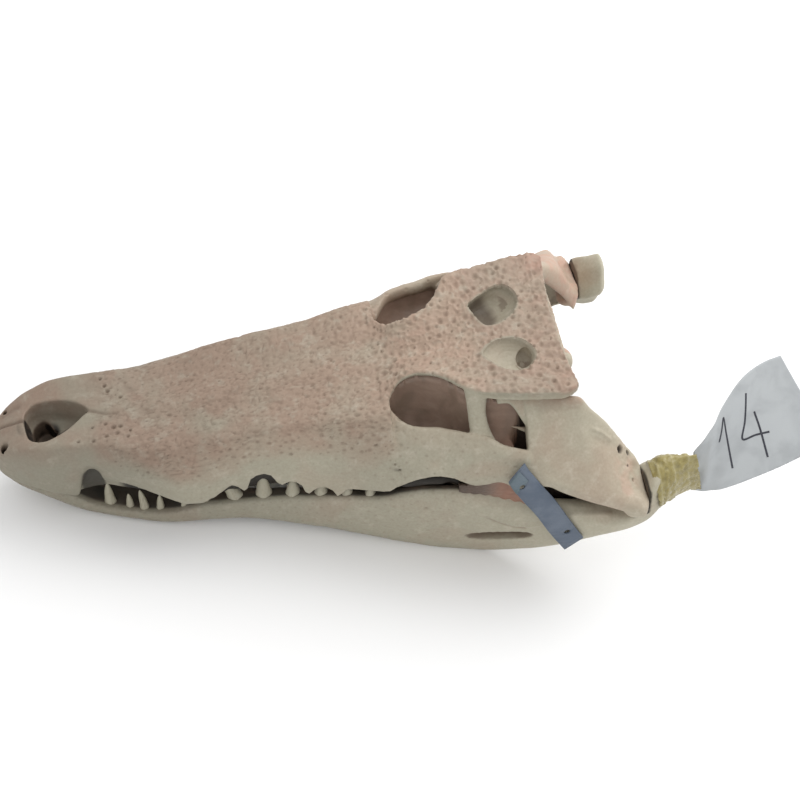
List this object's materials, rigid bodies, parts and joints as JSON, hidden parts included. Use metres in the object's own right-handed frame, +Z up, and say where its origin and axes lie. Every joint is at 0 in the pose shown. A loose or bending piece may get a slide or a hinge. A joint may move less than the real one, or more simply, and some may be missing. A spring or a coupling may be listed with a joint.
{
  "type": "crocodile skull",
  "caption": "Life-size crocodile skull for display, its lower jaw held shut by a plastic strip, with a paper tag taped to the rear end of the jaw.",
  "frame": {"origin": "on the floor, under the middle of the whole", "axes": "+Z up, the snout points to -X, the left side of the skull faces -Y"},
  "size_m": [0.5886, 0.2416, 0.1603],
  "materials": {
    "bone_top": "pitted dry bone, pinkish tan",
    "bone_side": "smoother dry bone, greenish cream",
    "bone_inner": "smooth dry bone, darker and in shade",
    "dried_tissue": "smooth dried brown tissue",
    "strip_plastic": "slate blue plastic strip, satin",
    "tape_film": "yellowed film tape, wrinkled",
    "tag_paper": "matte white paper, creased"
  },
  "bodies": {
    "root": {"premaxillae": "bone_top", "maxilla_left": "bone_top", "maxilla_right": "bone_top", "frontal": "bone_top", "skull_table": "bone_top", "jugal_left": "bone_side", "jugal_right": "bone_side", "quadrate_left": "bone_side", "quadrate_right": "bone_side", "postorbital_bar_left": "bone_side", "postorbital_bar_right": "bone_side", "dentary_left": "bone_side", "dentary_right": "bone_side", "jaw_rear_left": "bone_side", "jaw_rear_right": "bone_side", "braincase": "bone_inner", "palate": "bone_inner", "ectopterygoid_left": "bone_inner", "ectopterygoid_right": "bone_inner", "socket_lining_left": "dried_tissue", "socket_lining_right": "dried_tissue", "jaw_strip": "strip_plastic", "tag_tape": "tape_film", "paper_tag": "tag_paper"}
  },
  "joints": []
}
